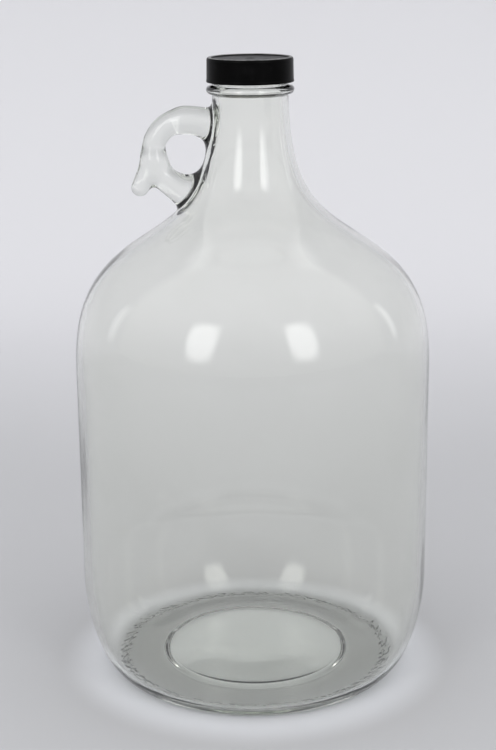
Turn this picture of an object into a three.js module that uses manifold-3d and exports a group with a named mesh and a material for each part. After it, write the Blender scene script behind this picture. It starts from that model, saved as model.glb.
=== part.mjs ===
// One-gallon glass carboy: a blown jug with a finger ring, a screw cap and the cap's sealing disc.
// Millimetres, +Z up. The origin is the centre of the base, on the surface that the jug stands on.
import * as THREE from 'three';
import { mergeVertices } from 'three/addons/utils/BufferGeometryUtils.js';
import Module from 'manifold-3d';

const wasm = await Module();
wasm.setup();

// ---- Driving dimensions: the jug's body ----
const BODY_RADIUS = 83.6; // outside of the straight wall
const WALL = 3.2; // glass thickness of the wall and shoulder
const BASE_THICKNESS = 5.0; // glass thickness at the middle of the base
const PUSH_UP_HEIGHT = 3.4; // how far the middle of the base is raised
const PUSH_UP_RADIUS = 44.0; // the flat disc in the middle of the push-up
const BEARING_INNER_RADIUS = 56.0; // the flat ring that the jug stands on
const BEARING_OUTER_RADIUS = 64.9;
const HEEL_HEIGHT = 46.8; // where the rounded heel meets the straight wall
const HEEL_LOW_REACH = 12.2; // how far the heel's curve leaves the floor flat
const HEEL_HIGH_REACH = 16.7; // how far it leaves the wall straight
const SHOULDER_START_HEIGHT = 144.8; // where the straight wall ends
const SHOULDER_RISE = 62.9; // from there up to the turn between shoulder and neck
const SHOULDER_TURN_INSET = 26.9; // the turn's distance inside the straight wall
const SHOULDER_TURN_SLOPE = THREE.MathUtils.degToRad(33.8); // slope of the glass at the turn
const SHOULDER_LOW_REACH = 21.9;
const SHOULDER_HIGH_REACH = 32.5;
const FLARE_RISE = 74.3; // from the turn up to the parallel neck
const FLARE_LOW_REACH = 30.4;
const FLARE_HIGH_REACH = 51.5;

// ---- Driving dimensions: the neck finish ----
const NECK_RADIUS = 17.3; // outside of the neck, and the root of its thread
const NECK_WALL = 3.0; // glass thickness of the parallel neck
const BEAD_PROJECTION = 2.8; // how far the transfer bead stands out under the cap
const BEAD_THICKNESS = 3.6;
const BEAD_CLEARANCE = 1.6; // from the cap's open edge down to the bead
const FINISH_RISE = 8.3; // from the top of the flare up to the lip
const LIP_ROUNDING = 1.2;
const THREAD_PITCH = 4.233; // six turns to the inch
const JUG_THREAD_TURNS = 1;
const JUG_THREAD_HEIGHT = 1.15; // the rounded ridge on the glass
const JUG_THREAD_DROP = 2.7; // from the lip down to the top end of the ridge

// ---- Driving dimensions: the finger ring ----
const FINGER_HOLE_RADIUS = 9.75;
const RING_SECTION_RADIUS = 5.4; // the round glass bar that the ring is made of
const RING_DROP = 39.9; // from the lip down to the middle of the finger hole
const RING_ROOT_DEPTH = 4.0; // how far each root runs into the jug before the cavity trims it
const BRIDGE_DROP = 22.0; // from the hole's middle down to the root on the shoulder
const BRIDGE_START_RADIUS = 4.2; // the bridge from ring to shoulder is slimmer at its outer end
const BRIDGE_ROOT_ANGLE = THREE.MathUtils.degToRad(225); // place on the ring, from +X towards +Z
const TAIL_LENGTH = 17.5; // from the ring's bar out to the tail's rounded end
const TAIL_RADIUS = 3.9;
const TAIL_ROOT_ANGLE = THREE.MathUtils.degToRad(195); // place on the ring, from +X towards +Z
const TAIL_DIRECTION = THREE.MathUtils.degToRad(241); // where it points, from +X towards +Z

// ---- Driving dimensions: the cap and its sealing disc ----
const CAP_WALL = 1.15; // plastic thickness of the skirt at its open edge
const CAP_SKIRT_DRAFT = 0.25; // how much narrower the skirt is under the top rim
const CAP_BORE_CLEARANCE = 0.35; // between the jug's thread crest and the skirt
const CAP_SKIRT_DEPTH = 7.7; // from the jug's lip down to the skirt's open edge
const CAP_PANEL_THICKNESS = 1.2;
const CAP_RIM_HEIGHT = 0.7; // how far the rim stands above the panel
const CAP_RIM_WIDTH = 2.4;
const CAP_EDGE_ROUNDING = 0.7;
const CAP_THREAD_HEIGHT = 0.95;
const CAP_THREAD_INSET = 1.6; // from the skirt's open edge up to the ridge's lower end
const CAP_THREAD_DROP = 1.4; // from the jug's lip down to the ridge's upper end
const LINER_THICKNESS = 1.0;
const LINER_CLEARANCE = 0.45; // between the disc's edge and the skirt
const SEAT_GAP = 0.25; // between the lip, the disc and the panel

// ---- How finely round shapes are divided ----
const ROUND_SEGMENTS = 48;
const BAR_SIDES = 12;
const RING_SEGMENTS = 24;
const THREAD_SIDES = 8;
const ARC_STEPS = 4;

// ---- Sizes that follow from the ones above ----
const TURN_HEIGHT = SHOULDER_START_HEIGHT + SHOULDER_RISE;
const TURN_RADIUS = BODY_RADIUS - SHOULDER_TURN_INSET;
const FLARE_TOP_HEIGHT = TURN_HEIGHT + FLARE_RISE;
const LIP_HEIGHT = FLARE_TOP_HEIGHT + FINISH_RISE;
const BORE_RADIUS = NECK_RADIUS - NECK_WALL;
const BEAD_RADIUS = NECK_RADIUS + BEAD_PROJECTION;
const BEAD_HEIGHT = LIP_HEIGHT - CAP_SKIRT_DEPTH - BEAD_CLEARANCE - BEAD_THICKNESS / 2;
const RING_HEIGHT = LIP_HEIGHT - RING_DROP;
const JUG_THREAD_START = -JUG_THREAD_DROP - THREAD_PITCH * JUG_THREAD_TURNS; // measured from the lip
const CAP_BORE_RADIUS = NECK_RADIUS + JUG_THREAD_HEIGHT + CAP_BORE_CLEARANCE;
const CAP_SKIRT_RADIUS = CAP_BORE_RADIUS + CAP_WALL;
const CAP_CEILING = SEAT_GAP + LINER_THICKNESS + SEAT_GAP; // panel's underside above the lip
const LINER_RADIUS = CAP_BORE_RADIUS - LINER_CLEARANCE;

const materials = {
  glass: { color: '#cfd6d2', roughness: 0.04, metalness: 0.0, transparent: true, opacity: 0.35 },
  cap: { color: '#161617', roughness: 0.45, metalness: 0.0 },
  liner: { color: '#e6e4dc', roughness: 0.7, metalness: 0.0 },
};

/** A point of a lathe's outline: its radius and its height. */
function at(radius, height) {
  return new THREE.Vector2(radius, height);
}

/** The points of a smooth bend between two outline points, with its two control points. */
function bend(start, startControl, endControl, end, steps) {
  return new THREE.CubicBezierCurve(start, startControl, endControl, end).getPoints(steps);
}

/** The points of a quarter round from one outline point to another, bulging towards the corner. */
function rounding(start, corner, end, steps = ARC_STEPS) {
  const centre = start.clone().add(end).sub(corner);
  const points = [];
  for (let i = 0; i <= steps; i += 1) {
    const angle = (Math.PI / 2) * (i / steps);
    const alongStart = start.clone().sub(centre).multiplyScalar(Math.cos(angle));
    const alongEnd = end.clone().sub(centre).multiplyScalar(Math.sin(angle));
    points.push(centre.clone().add(alongStart).add(alongEnd));
  }
  return points;
}

/** The outline with each point dropped that repeats the one before it. */
function withoutRepeats(points) {
  return points.filter((point, i) => i === 0 || point.distanceTo(points[i - 1]) > 1e-6);
}

/** A closed geometry turned about +Z from an outline that runs up the outside. */
function turned(points, segments = ROUND_SEGMENTS) {
  return new THREE.LatheGeometry(withoutRepeats(points), segments).rotateX(Math.PI / 2);
}

/** A manifold solid with the shape of a closed geometry. */
function solidOf(geometry) {
  const bare = geometry.clone();
  bare.deleteAttribute('normal');
  bare.deleteAttribute('uv');
  const merged = mergeVertices(bare, 1e-4);
  const mesh = new wasm.Mesh({
    numProp: 3,
    vertProperties: Float32Array.from(merged.attributes.position.array),
    triVerts: Uint32Array.from(merged.index.array),
  });
  mesh.merge();
  return new wasm.Manifold(mesh);
}

/** The geometry of a manifold solid. */
function geometryOf(solid) {
  const mesh = solid.getMesh();
  const geometry = new THREE.BufferGeometry();
  geometry.setAttribute('position', new THREE.BufferAttribute(mesh.vertProperties, 3));
  geometry.setIndex(new THREE.BufferAttribute(mesh.triVerts, 1));
  geometry.computeVertexNormals();
  return geometry;
}

/** A helix about +Z between two heights, rising one pitch for each turn through a height on +X. */
class Helix extends THREE.Curve {
  constructor(radius, heightOnX, lowHeight, highHeight) {
    super();
    this.radius = radius;
    this.heightOnX = heightOnX;
    this.lowHeight = lowHeight;
    this.highHeight = highHeight;
  }

  getPoint(t, target = new THREE.Vector3()) {
    const height = THREE.MathUtils.lerp(this.lowHeight, this.highHeight, t);
    const angle = (2 * Math.PI * (height - this.heightOnX)) / THREAD_PITCH;
    return target.set(this.radius * Math.cos(angle), this.radius * Math.sin(angle), height);
  }
}

/** A round bar along a curve. */
function bar(curve, radius, sides, steps) {
  const section = new THREE.Shape();
  section.absarc(0, 0, radius, 0, 2 * Math.PI, false);
  return new THREE.ExtrudeGeometry(section, { steps, extrudePath: curve, curveSegments: sides });
}

/** A rounded thread ridge along a helix. */
function threadRidge(helix, ridgeHeight) {
  const turns = (helix.highHeight - helix.lowHeight) / THREAD_PITCH;
  return solidOf(bar(helix, ridgeHeight, THREAD_SIDES, Math.ceil(ROUND_SEGMENTS * turns)));
}

/** The jug's wall from the bearing ring up to the top of the flare, on the outside. */
function outerWall() {
  const heel = bend(
    at(BEARING_OUTER_RADIUS, 0),
    at(BEARING_OUTER_RADIUS + HEEL_LOW_REACH, 0),
    at(BODY_RADIUS, HEEL_HEIGHT - HEEL_HIGH_REACH),
    at(BODY_RADIUS, HEEL_HEIGHT),
    7,
  );
  const slope = at(-Math.cos(SHOULDER_TURN_SLOPE), Math.sin(SHOULDER_TURN_SLOPE));
  const turn = at(TURN_RADIUS, TURN_HEIGHT);
  const shoulder = bend(
    at(BODY_RADIUS, SHOULDER_START_HEIGHT),
    at(BODY_RADIUS, SHOULDER_START_HEIGHT + SHOULDER_LOW_REACH),
    turn.clone().addScaledVector(slope, -SHOULDER_HIGH_REACH),
    turn,
    9,
  );
  const flare = bend(
    turn,
    turn.clone().addScaledVector(slope, FLARE_LOW_REACH),
    at(NECK_RADIUS, FLARE_TOP_HEIGHT - FLARE_HIGH_REACH),
    at(NECK_RADIUS, FLARE_TOP_HEIGHT),
    11,
  );
  return [...heel, ...shoulder, ...flare.slice(1)];
}

/** The outer wall moved inwards by the glass thickness, square to the wall at each point. */
function innerWall(outer) {
  return outer.map((point, i) => {
    const before = outer[Math.max(i - 1, 0)];
    const after = outer[Math.min(i + 1, outer.length - 1)];
    const along = after.clone().sub(before).normalize();
    const thickness = THREE.MathUtils.mapLinear(
      Math.max(point.y, TURN_HEIGHT), TURN_HEIGHT, FLARE_TOP_HEIGHT, WALL, NECK_RADIUS - BORE_RADIUS,
    );
    return at(point.x - along.y * thickness, point.y + along.x * thickness);
  });
}

/** The outside radius of the wall at a height. */
function wallRadiusAt(outer, height) {
  const above = outer.findIndex((point) => point.y >= height);
  const low = outer[above - 1];
  const high = outer[above];
  return THREE.MathUtils.mapLinear(height, low.y, high.y, low.x, high.x);
}

/** The jug's whole outside as a filled body, from its push-up to its lip. */
function outsideBody(outer) {
  const wall = outer.filter((point) => point.y < BEAD_HEIGHT - BEAD_THICKNESS / 2);
  const beadRound = BEAD_THICKNESS / 2;
  const beadEdge = BEAD_RADIUS - beadRound;
  const lipEdge = LIP_HEIGHT - LIP_ROUNDING;
  return turned([
    at(0, PUSH_UP_HEIGHT),
    at(PUSH_UP_RADIUS, PUSH_UP_HEIGHT),
    at(BEARING_INNER_RADIUS, 0),
    ...wall,
    at(NECK_RADIUS, BEAD_HEIGHT - beadRound),
    ...rounding(
      at(beadEdge, BEAD_HEIGHT - beadRound),
      at(BEAD_RADIUS, BEAD_HEIGHT - beadRound),
      at(BEAD_RADIUS, BEAD_HEIGHT),
    ),
    ...rounding(
      at(BEAD_RADIUS, BEAD_HEIGHT),
      at(BEAD_RADIUS, BEAD_HEIGHT + beadRound),
      at(beadEdge, BEAD_HEIGHT + beadRound),
    ),
    at(NECK_RADIUS, BEAD_HEIGHT + beadRound),
    ...rounding(
      at(NECK_RADIUS, lipEdge),
      at(NECK_RADIUS, LIP_HEIGHT),
      at(NECK_RADIUS - LIP_ROUNDING, LIP_HEIGHT),
    ),
    at(0, LIP_HEIGHT),
  ]);
}

/** The jug's cavity as a filled body, running out past the lip. */
function cavityBody(outer) {
  const inner = innerWall(outer);
  const floor = PUSH_UP_HEIGHT + BASE_THICKNESS;
  const wall = inner.filter((point) => point.y > floor && point.y < BEAD_HEIGHT - BEAD_THICKNESS / 2);
  return turned([
    at(0, floor),
    at(PUSH_UP_RADIUS, floor),
    at(BEARING_OUTER_RADIUS, BASE_THICKNESS),
    ...wall,
    at(BORE_RADIUS, BEAD_HEIGHT),
    at(BORE_RADIUS, LIP_HEIGHT + LIP_ROUNDING),
    at(0, LIP_HEIGHT + LIP_ROUNDING),
  ]);
}

/** A straight round bar from one point to another, narrowing from one radius to the other. */
function straightBar(start, end, startRadius, endRadius) {
  const along = end.clone().sub(start);
  const upright = new THREE.Vector3(0, 1, 0);
  const turn = new THREE.Quaternion().setFromUnitVectors(upright, along.clone().normalize());
  const middle = start.clone().add(end).divideScalar(2);
  const geometry = new THREE.CylinderGeometry(endRadius, startRadius, along.length(), BAR_SIDES);
  return solidOf(geometry.applyQuaternion(turn).translate(middle.x, middle.y, middle.z));
}

/** The finger ring with its two roots and its tail, as one solid that runs into the jug. */
function fingerRing(outer) {
  const wallRadius = wallRadiusAt(outer, RING_HEIGHT);
  const centre = new THREE.Vector3(-(wallRadius + FINGER_HOLE_RADIUS), 0, RING_HEIGHT);
  const barRadius = FINGER_HOLE_RADIUS + RING_SECTION_RADIUS;
  const onRing = (angle) => new THREE.Vector3(Math.cos(angle), 0, Math.sin(angle))
    .multiplyScalar(barRadius)
    .add(centre);
  const ring = new THREE.TorusGeometry(barRadius, RING_SECTION_RADIUS, BAR_SIDES, RING_SEGMENTS)
    .rotateX(Math.PI / 2)
    .translate(centre.x, centre.y, centre.z);

  const topStart = onRing(Math.PI / 2);
  const topRoot = topStart.clone().setX(RING_ROOT_DEPTH - NECK_RADIUS);
  const bridgeStart = onRing(BRIDGE_ROOT_ANGLE);
  const bridgeHeight = RING_HEIGHT - BRIDGE_DROP;
  const bridgeReach = wallRadiusAt(outer, bridgeHeight) - RING_ROOT_DEPTH;
  const bridgeRoot = new THREE.Vector3(-bridgeReach, 0, bridgeHeight);
  const tailStart = onRing(TAIL_ROOT_ANGLE);
  const tailDirection = new THREE.Vector3(Math.cos(TAIL_DIRECTION), 0, Math.sin(TAIL_DIRECTION));
  const tailEnd = tailStart.clone().addScaledVector(tailDirection, TAIL_LENGTH - TAIL_RADIUS);
  const tailTip = new THREE.SphereGeometry(TAIL_RADIUS, BAR_SIDES, BAR_SIDES / 2)
    .translate(tailEnd.x, tailEnd.y, tailEnd.z);

  return solidOf(ring)
    .add(straightBar(topStart, topRoot, RING_SECTION_RADIUS, RING_SECTION_RADIUS))
    .add(straightBar(bridgeStart, bridgeRoot, BRIDGE_START_RADIUS, RING_SECTION_RADIUS))
    .add(straightBar(tailStart, tailEnd, RING_SECTION_RADIUS, TAIL_RADIUS))
    .add(solidOf(tailTip));
}

/** The moulded glass: body, neck finish with its thread, and finger ring, all in one. */
function glassJug() {
  const outer = outerWall();
  const threadStart = LIP_HEIGHT + JUG_THREAD_START;
  const helix = new Helix(NECK_RADIUS, threadStart, threadStart, LIP_HEIGHT - JUG_THREAD_DROP);
  const thread = threadRidge(helix, JUG_THREAD_HEIGHT);
  const glass = solidOf(outsideBody(outer))
    .add(fingerRing(outer))
    .add(thread)
    .subtract(solidOf(cavityBody(outer)));
  return geometryOf(glass);
}

/** The screw cap, with its origin in the plane of the jug's lip. */
function screwCap() {
  const panelTop = CAP_CEILING + CAP_PANEL_THICKNESS;
  const rimTop = panelTop + CAP_RIM_HEIGHT;
  const topRadius = CAP_SKIRT_RADIUS - CAP_SKIRT_DRAFT;
  const rimInner = topRadius - CAP_RIM_WIDTH;
  const rimRound = CAP_RIM_HEIGHT;
  const shell = turned([
    at(0, CAP_CEILING),
    at(CAP_BORE_RADIUS, CAP_CEILING),
    at(CAP_BORE_RADIUS, -CAP_SKIRT_DEPTH),
    at(CAP_SKIRT_RADIUS, -CAP_SKIRT_DEPTH),
    ...rounding(
      at(topRadius, rimTop - CAP_EDGE_ROUNDING),
      at(topRadius, rimTop),
      at(topRadius - CAP_EDGE_ROUNDING, rimTop),
    ),
    ...rounding(
      at(rimInner + rimRound, rimTop),
      at(rimInner, rimTop),
      at(rimInner, panelTop),
    ),
    at(0, panelTop),
  ]);
  // The cap's ridge lies midway between two turns of the jug's thread.
  const helix = new Helix(
    CAP_BORE_RADIUS,
    JUG_THREAD_START + THREAD_PITCH / 2,
    CAP_THREAD_INSET - CAP_SKIRT_DEPTH,
    -CAP_THREAD_DROP,
  );
  return geometryOf(solidOf(shell).add(threadRidge(helix, CAP_THREAD_HEIGHT)));
}

/** The cap's sealing disc, with its underside at its origin. */
function capLiner() {
  return turned([
    at(0, 0),
    at(LINER_RADIUS, 0),
    at(LINER_RADIUS, LINER_THICKNESS),
    at(0, LINER_THICKNESS),
  ]);
}

/** A named mesh in its own finish, at a height on the jug's axis. */
function placed(name, geometry, finish, height) {
  const mesh = new THREE.Mesh(geometry, new THREE.MeshStandardMaterial(finish));
  mesh.name = name;
  mesh.position.z = height;
  return mesh;
}

const carboy = new THREE.Group();
carboy.add(placed('glass_jug', glassJug(), materials.glass, 0));
carboy.add(placed('screw_cap', screwCap(), materials.cap, LIP_HEIGHT));
carboy.add(placed('cap_liner', capLiner(), materials.liner, LIP_HEIGHT + SEAT_GAP));

export default carboy;
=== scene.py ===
"""A one-gallon glass carboy: its clear glass, its black screw cap and the sealing disc inside the cap.

Sizes are in millimetres and become metres as each mesh is made. Heights are above the base.
"""

import logging
import math
from dataclasses import dataclass
from enum import Enum
from typing import Callable, Union

import bpy
import numpy as np
from mathutils import Matrix, Vector

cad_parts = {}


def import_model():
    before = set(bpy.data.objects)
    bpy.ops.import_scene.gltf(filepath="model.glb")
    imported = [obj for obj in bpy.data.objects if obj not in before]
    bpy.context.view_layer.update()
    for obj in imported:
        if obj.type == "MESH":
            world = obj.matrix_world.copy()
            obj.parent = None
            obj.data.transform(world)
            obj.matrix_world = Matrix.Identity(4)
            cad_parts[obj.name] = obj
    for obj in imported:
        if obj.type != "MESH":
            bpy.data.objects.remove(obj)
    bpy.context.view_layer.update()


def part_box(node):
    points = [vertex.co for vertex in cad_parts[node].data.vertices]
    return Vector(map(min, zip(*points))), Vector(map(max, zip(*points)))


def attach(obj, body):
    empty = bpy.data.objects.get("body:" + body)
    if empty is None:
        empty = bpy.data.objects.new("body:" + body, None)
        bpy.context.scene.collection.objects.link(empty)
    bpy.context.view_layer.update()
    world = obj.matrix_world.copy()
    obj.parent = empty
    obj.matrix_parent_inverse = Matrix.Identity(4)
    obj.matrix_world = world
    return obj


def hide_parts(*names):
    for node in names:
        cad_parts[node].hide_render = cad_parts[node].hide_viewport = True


MM = 0.001
WELD_STEP = 1e-3
TINY = 1e-6
TURN = 2.0 * math.pi

log = logging.getLogger("carboy")


# ---- Shader maths -------------------------------------------------------------------------------


class Wire:
    """A number that a material's nodes work out, extended with Python's operators."""

    def __init__(self, sheet: "NodeSheet", socket: bpy.types.NodeSocket) -> None:
        """Keeps the sheet of nodes and the output socket that carries the number."""
        self.sheet = sheet
        self.socket = socket

    def _math(self, operation: str, first: "Value", second: "Value") -> "Wire":
        """Adds one Math node."""
        return self.sheet.node("ShaderNodeMath", {"operation": operation}, {0: first, 1: second})

    def __add__(self, other: "Value") -> "Wire":
        """Sum."""
        return self._math("ADD", self, other)

    __radd__ = __add__

    def __sub__(self, other: "Value") -> "Wire":
        """Difference."""
        return self._math("SUBTRACT", self, other)

    def __rsub__(self, other: "Value") -> "Wire":
        """Difference with the number first."""
        return self._math("SUBTRACT", other, self)

    def __mul__(self, other: "Value") -> "Wire":
        """Product."""
        return self._math("MULTIPLY", self, other)

    __rmul__ = __mul__

    def ramp(self, low: float, high: float) -> "Wire":
        """Rises smoothly from 0 at low to 1 at high."""
        settings = {"interpolation_type": "SMOOTHSTEP"}
        return self.sheet.node("ShaderNodeMapRange", settings, {0: self, 1: low, 2: high, 3: 0.0, 4: 1.0})


Value = Union[Wire, float, tuple]


class NodeSheet:
    """The nodes of one material or world."""

    def __init__(self, tree: bpy.types.NodeTree) -> None:
        """Clears the tree and keeps it."""
        tree.nodes.clear()
        self.tree = tree

    def node(self, kind: str, settings: dict, inputs: dict, output: Union[int, str] = 0) -> Wire:
        """Adds a node.

        Args:
            kind: The node's Blender type.
            settings: The node's own properties, which are set first.
            inputs: A number, a colour or a Wire for each socket, by name or place.
            output: The output socket to hand back.

        Returns:
            The chosen output, or a Wire with no socket from a node that has no outputs.
        """
        made = self.tree.nodes.new(kind)
        for name, value in settings.items():
            setattr(made, name, value)
        for key, value in inputs.items():
            if isinstance(value, Wire):
                self.tree.links.new(value.socket, made.inputs[key])
            else:
                made.inputs[key].default_value = value
        return Wire(self, made.outputs[output]) if len(made.outputs) else Wire(self, None)

    def place(self) -> Wire:
        """The point on the piece, in metres."""
        return self.node("ShaderNodeTexCoord", {}, {}, "Object")

    def noise(self, per_metre: float, detail: float = 2.0, stretch: tuple = (1.0, 1.0, 1.0)) -> Wire:
        """Smooth noise from 0 to 1.

        Args:
            per_metre: How many bumps there are to the metre.
            detail: How many finer layers it has.
            stretch: The scale along each axis.

        Returns:
            The noise.
        """
        point = self.node("ShaderNodeMapping", {}, {"Vector": self.place(), "Scale": stretch})
        inputs = {"Vector": point, "Scale": per_metre, "Detail": detail}
        return self.node("ShaderNodeTexNoise", {}, inputs)

    def mix(self, amount: Value, first: Value, second: Value) -> Wire:
        """A colour between two colours."""
        return self.node("ShaderNodeMix", {"data_type": "RGBA"}, {0: amount, 6: first, 7: second}, 2)

    def bump(self, height: Value, strength: float, distance: float) -> Wire:
        """A normal that a height gives."""
        inputs = {"Strength": strength, "Distance": distance, "Height": height}
        return self.node("ShaderNodeBump", {}, inputs)


def new_material(name: str) -> tuple[bpy.types.Material, NodeSheet]:
    """Makes an empty material.

    Args:
        name: The material's name.

    Returns:
        The material and its sheet of nodes.
    """
    material = bpy.data.materials.new(name)
    material.use_nodes = True
    return material, NodeSheet(material.node_tree)


# ---- Finishes -----------------------------------------------------------------------------------


@dataclass(frozen=True)
class ClearGlass:
    """Clear container glass with a faint grey-green tint, which shows where it is seen edge on."""

    refraction: float = 1.52
    tint: tuple = (0.62, 0.73, 0.52, 1.0)
    tint_density: float = 7.0
    clean: tuple = (0.976, 0.980, 0.960, 1.0)
    handled: tuple = (0.952, 0.958, 0.934, 1.0)
    polish: float = 0.0
    handling: float = 0.035
    film_per_metre: float = 24.0
    film_edges: tuple = (0.52, 0.78)
    ripple_per_metre: float = 30.0
    ripple_stretch: tuple = (1.0, 1.0, 0.35)
    ripple_strength: float = 0.3
    ripple_depth: float = 0.0010

    def material(self) -> bpy.types.Material:
        """Makes the glass: polished, with a light handling film and the slow ripple of a blown wall.

        Returns:
            The material.
        """
        material, sheet = new_material("clear_glass")
        film = sheet.noise(self.film_per_metre, 3.0).ramp(*self.film_edges)
        ripple = sheet.noise(self.ripple_per_metre, 1.0, self.ripple_stretch)
        surface = sheet.node(
            "ShaderNodeBsdfPrincipled",
            {},
            {
                "Base Color": sheet.mix(film, self.clean, self.handled),
                "Roughness": self.polish + film * self.handling,
                "IOR": self.refraction,
                "Transmission Weight": 1.0,
                "Normal": sheet.bump(ripple, self.ripple_strength, self.ripple_depth),
            },
        )
        tinting = {"Color": self.tint, "Density": self.tint_density}
        inside = sheet.node("ShaderNodeVolumeAbsorption", {}, tinting)
        sheet.node("ShaderNodeOutputMaterial", {}, {"Surface": surface, "Volume": inside})
        return material


@dataclass(frozen=True)
class MouldedPlastic:
    """Satin black moulded plastic, a little greyer where hands and the mould have rubbed it.

    crest is the height of the cap's rim in metres, and its last crest_depth is painted pale grey in
    patches: a painted highlight along the rim.
    """

    crest: float
    colour: tuple = (0.0012, 0.0012, 0.0012, 1.0)
    rubbed: tuple = (0.010, 0.010, 0.0105, 1.0)
    # Pale grey of the painted highlight along the cap's rim.
    painted_rim_highlight: tuple = (0.30, 0.30, 0.30, 1.0)
    crest_depth: float = 0.0004
    roughness: float = 0.28
    shine: float = 0.05
    refraction: float = 1.49
    grain_per_metre: float = 2600.0
    draw_lines_per_metre: float = 900.0
    draw_lines_stretch: tuple = (1.0, 1.0, 0.06)
    rubbed_per_metre: float = 70.0
    rubbed_edges: tuple = (0.50, 0.80)
    # Noise that breaks the painted rim highlight into patches.
    rim_highlight_patches_per_metre: float = 240.0
    rim_highlight_patch_edges: tuple = (0.25, 0.60)
    grain_strength: float = 0.22
    grain_depth: float = 0.00006

    def material(self) -> bpy.types.Material:
        """Makes the plastic with a fine mould grain, faint draw lines and rubbed patches.

        Returns:
            The material.
        """
        material, sheet = new_material("black_plastic")
        grain = sheet.noise(self.grain_per_metre, 2.0)
        draw_lines = sheet.noise(self.draw_lines_per_metre, 2.0, self.draw_lines_stretch)
        rubbed = sheet.noise(self.rubbed_per_metre, 4.0).ramp(*self.rubbed_edges)
        height = sheet.node("ShaderNodeSeparateXYZ", {}, {0: sheet.place()}, "Z")
        # Painted highlight: the top crest_depth of the rim is painted pale grey, in patches set by noise,
        # where the rim catches the light.
        crest = height.ramp(self.crest - self.crest_depth, self.crest)
        patchy = sheet.noise(self.rim_highlight_patches_per_metre, 2.0).ramp(*self.rim_highlight_patch_edges)
        black = sheet.mix(rubbed * 0.6, self.colour, self.rubbed)
        surface = sheet.node(
            "ShaderNodeBsdfPrincipled",
            {},
            {
                "Base Color": sheet.mix(crest * (patchy * 0.5 + 0.5), black, self.painted_rim_highlight),
                "Roughness": self.roughness + rubbed * 0.12 + draw_lines * 0.08,
                "IOR": self.refraction,
                "Specular IOR Level": self.shine,
                "Normal": sheet.bump(grain * 0.5 + draw_lines, self.grain_strength, self.grain_depth),
            },
        )
        sheet.node("ShaderNodeOutputMaterial", {}, {"Surface": surface})
        return material


@dataclass(frozen=True)
class LinerFoam:
    """Off-white foam sheet with small closed cells under a smooth film."""

    colour: tuple = (0.78, 0.76, 0.70, 1.0)
    shade: tuple = (0.66, 0.64, 0.58, 1.0)
    roughness: float = 0.55
    cells_per_metre: float = 2200.0
    cell_strength: float = 0.3
    cell_depth: float = 0.00008
    mottle_per_metre: float = 160.0

    def material(self) -> bpy.types.Material:
        """Makes the foam: cells that pit the surface and mottle the colour.

        Returns:
            The material.
        """
        material, sheet = new_material("liner_foam")
        spacing = {"Vector": sheet.place(), "Scale": self.cells_per_metre}
        cells = sheet.node("ShaderNodeTexVoronoi", {}, spacing, "Distance")
        mottle = sheet.noise(self.mottle_per_metre, 3.0)
        surface = sheet.node(
            "ShaderNodeBsdfPrincipled",
            {},
            {
                "Base Color": sheet.mix(cells * mottle, self.colour, self.shade),
                "Roughness": self.roughness + mottle * 0.2,
                "Normal": sheet.bump(cells, self.cell_strength, self.cell_depth),
            },
        )
        sheet.node("ShaderNodeOutputMaterial", {}, {"Surface": surface})
        return material


@dataclass(frozen=True)
class StudioPaper:
    """The pale seamless paper, brighter where it rises behind the object, with a painted pool of light
    round the glass.

    Lengths are in metres. The painted pool of light, which stands in for light that the glass throws
    onto the paper, fades out from the middle between painted_light_pool_to and painted_light_pool_from;
    a painted glow, which the paper gives off under the glass's base though it is no lamp, fades out
    between painted_glow_to and painted_glow_from; and the floor's colour turns into the wall's between
    turn_from and turn_to along Y.
    """

    floor: tuple = (0.570, 0.574, 0.588, 1.0)
    wall: tuple = (0.765, 0.765, 0.790, 1.0)
    # Painted pool of light: the paper is painted paler round the jug, standing in for light that the
    # glass throws onto it.
    painted_light_pool: tuple = (0.850, 0.864, 0.900, 1.0)
    painted_light_pool_to: float = 0.074
    painted_light_pool_from: float = 0.098
    # Painted glow: the paper under the glass's base gives off this faint light, though it is no lamp.
    painted_glow: tuple = (0.195, 0.205, 0.205, 1.0)
    unlit: tuple = (0.0, 0.0, 0.0, 1.0)
    painted_glow_to: float = 0.040
    painted_glow_from: float = 0.049
    turn_from: float = 0.22
    turn_to: float = 0.82
    roughness: float = 0.75
    shine: float = 0.2
    fibre_per_metre: float = 420.0
    fibre_strength: float = 0.05
    fibre_depth: float = 0.0001

    def material(self) -> bpy.types.Material:
        """Makes the paper: two greys that meet softly behind the object, and a faint fibre grain.

        Returns:
            The material.
        """
        material, sheet = new_material("studio_paper")
        across = sheet.node("ShaderNodeSeparateXYZ", {}, {0: sheet.place()}, "Y")
        out = sheet.node("ShaderNodeVectorMath", {"operation": "LENGTH"}, {0: sheet.place()}, "Value")
        # Where the painted glow under the glass's base fades out.
        painted_glow_mask = out.ramp(self.painted_glow_to, self.painted_glow_from)
        fibre = sheet.noise(self.fibre_per_metre, 3.0)
        paper = sheet.mix(across.ramp(self.turn_from, self.turn_to), self.floor, self.wall)
        surface = sheet.node(
            "ShaderNodeBsdfPrincipled",
            {},
            {
                # Painted pool of light round the jug, in the paper's colour.
                "Base Color": sheet.mix(out.ramp(self.painted_light_pool_to, self.painted_light_pool_from), self.painted_light_pool, paper),
                # Painted glow under the glass's base: the paper emits light of its own.
                "Emission Color": sheet.mix(painted_glow_mask, self.painted_glow, self.unlit),
                "Emission Strength": 1.0,
                "Roughness": self.roughness + fibre * 0.1,
                "Specular IOR Level": self.shine,
                "Normal": sheet.bump(fibre, self.fibre_strength, self.fibre_depth),
            },
        )
        sheet.node("ShaderNodeOutputMaterial", {}, {"Surface": surface})
        return material


# ---- Outlines and meshes ------------------------------------------------------------------------


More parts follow.
